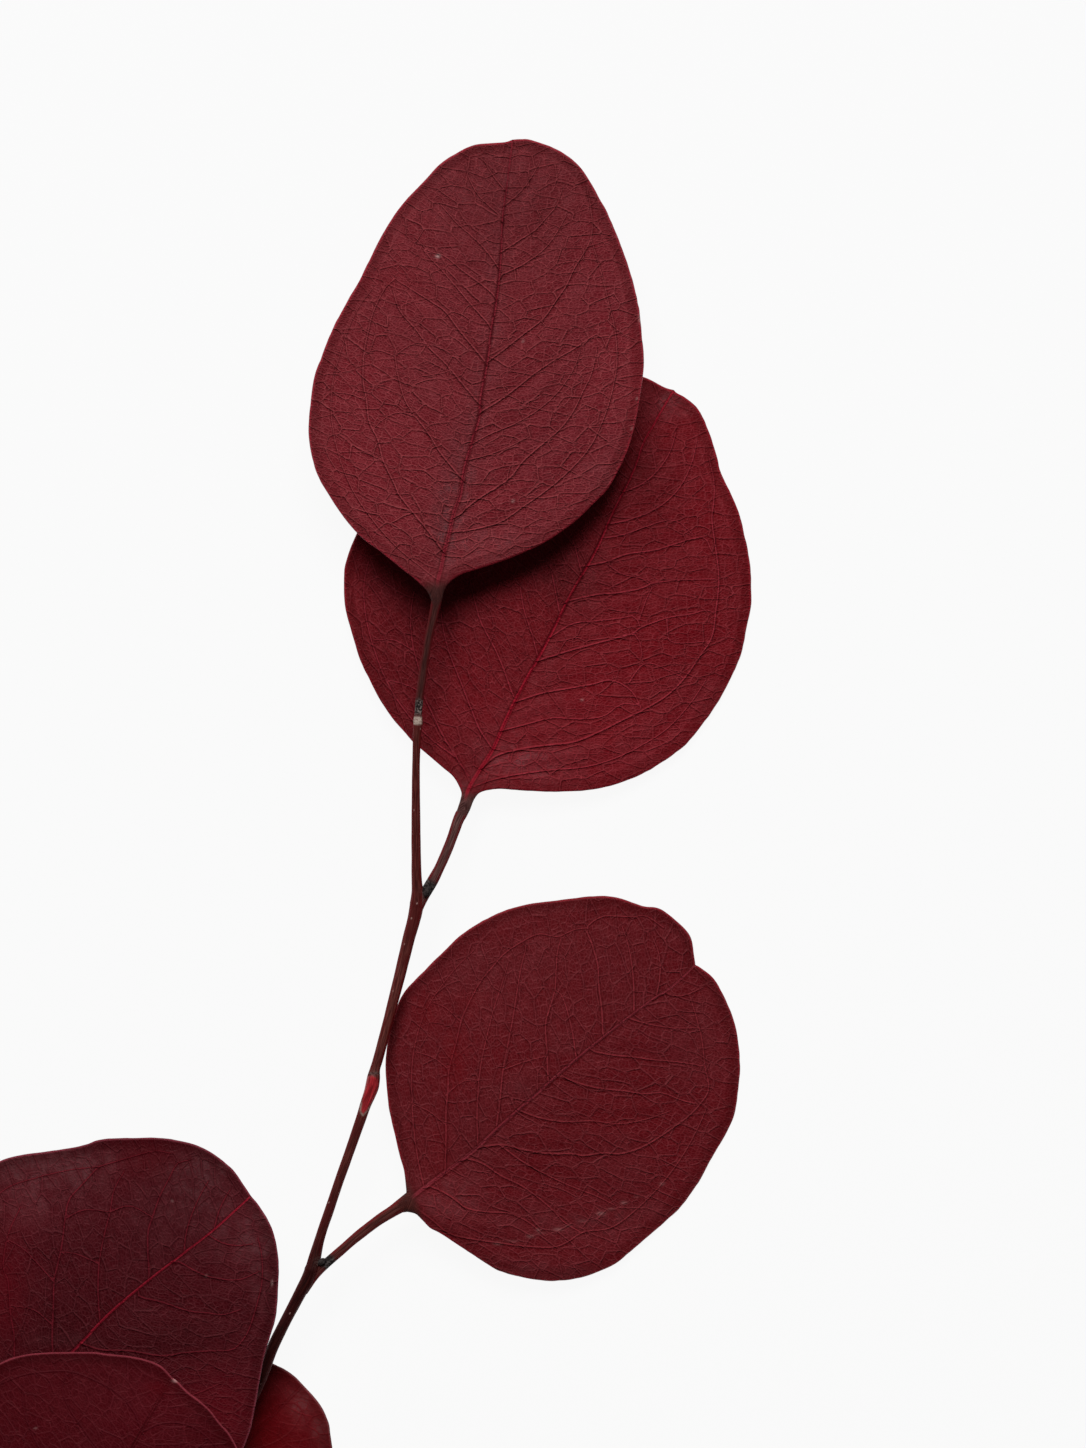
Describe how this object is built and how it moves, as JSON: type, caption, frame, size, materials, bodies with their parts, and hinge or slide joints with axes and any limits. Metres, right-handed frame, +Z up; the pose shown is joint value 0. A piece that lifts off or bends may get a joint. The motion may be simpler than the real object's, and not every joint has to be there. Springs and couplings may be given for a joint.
{
  "type": "eucalyptus leaf sprig",
  "caption": "Cut sprig of dark red preserved eucalyptus: a thin brown stem with large round leaves on short petioles, lying flat as floral decoration.",
  "frame": {"origin": "bottom centre of the bounding box, on the surface the sprig lies on", "axes": "+Y from the cut end towards the terminal leaf, the longest way; +X to the right seen from above; +Z up from the surface"},
  "size_m": [0.1532, 0.248, 0.0155],
  "materials": {
    "stem_bark": "dark red-brown bark, slightly satin",
    "leaf_1_skin": "dusty maroon preserved leaf, leathery satin",
    "leaf_2_skin": "deep crimson preserved leaf, leathery satin",
    "leaf_3_skin": "deep crimson preserved leaf with pale scuffs, leathery satin",
    "leaf_4_skin": "dark purple-red preserved leaf, leathery satin",
    "leaf_5_skin": "dark crimson preserved leaf, leathery satin",
    "leaf_6_skin": "dark crimson preserved leaf, leathery satin",
    "bud_scale": "dull grey-brown bud scale"
  },
  "bodies": {
    "root": {"main_stem": "stem_bark", "leaf_1": "leaf_1_skin", "leaf_2": "leaf_2_skin", "leaf_3": "leaf_3_skin", "leaf_4": "leaf_4_skin", "leaf_5": "leaf_5_skin", "leaf_6": "leaf_6_skin", "axil_bud_1": "bud_scale", "axil_bud_2": "bud_scale"}
  },
  "joints": []
}
